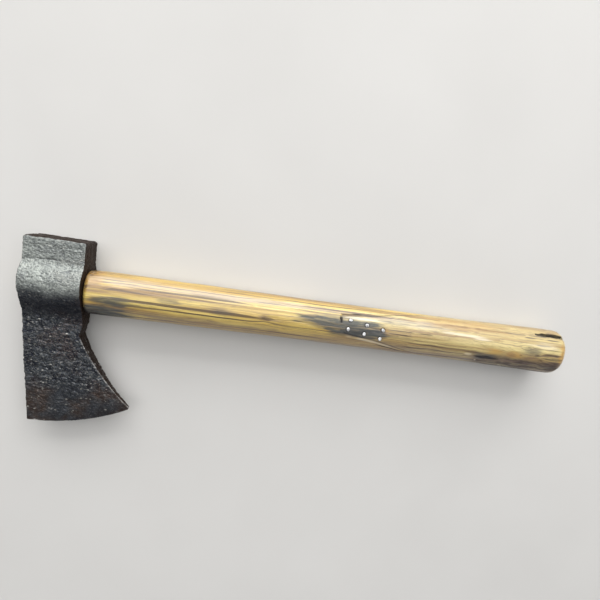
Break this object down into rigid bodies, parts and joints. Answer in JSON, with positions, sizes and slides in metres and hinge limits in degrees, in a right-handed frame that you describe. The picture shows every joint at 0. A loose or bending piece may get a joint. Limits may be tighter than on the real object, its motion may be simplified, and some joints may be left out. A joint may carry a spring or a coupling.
{
  "type": "forged hatchet",
  "caption": "Old hand-forged hatchet with a flat hammer poll, bulged eye and bearded blade with a steel edge, on a wooden haft spliced with a nailed scarf.",
  "frame": {"origin": "centre of the poll's flat striking face, on the blade's mid-plane", "axes": "+X runs along the haft from the head to the butt, +Y points out of the poll's striking face and away from the cutting edge, +Z is across the blade's thickness, up when the hatchet lies on its side"},
  "size_m": [0.4405, 0.1445, 0.0368],
  "materials": {
    "forged_iron": "hand-forged, deeply pitted, dark oxide with brown rust in the low places",
    "bit_steel": "smoother old steel under thin brown rust",
    "haft_wood": "old oiled hardwood, worn smooth, with dark open grain",
    "grip_wood": "old oiled hardwood with curly grain, dark with grime low down",
    "wedge_wood": "dry sawn hardwood, end grain",
    "wedge_iron": "rusty iron",
    "nail_steel": "bright worn nail heads"
  },
  "bodies": {
    "root": {"head_body": "forged_iron", "steel_bit": "bit_steel", "haft_forward": "haft_wood", "haft_grip": "grip_wood", "wood_wedge": "wedge_wood", "iron_wedge": "wedge_iron", "splice_nail_1": "nail_steel", "splice_nail_2": "nail_steel", "splice_nail_3": "nail_steel", "splice_nail_4": "nail_steel", "splice_nail_5": "nail_steel", "splice_nail_6": "nail_steel"}
  },
  "joints": []
}
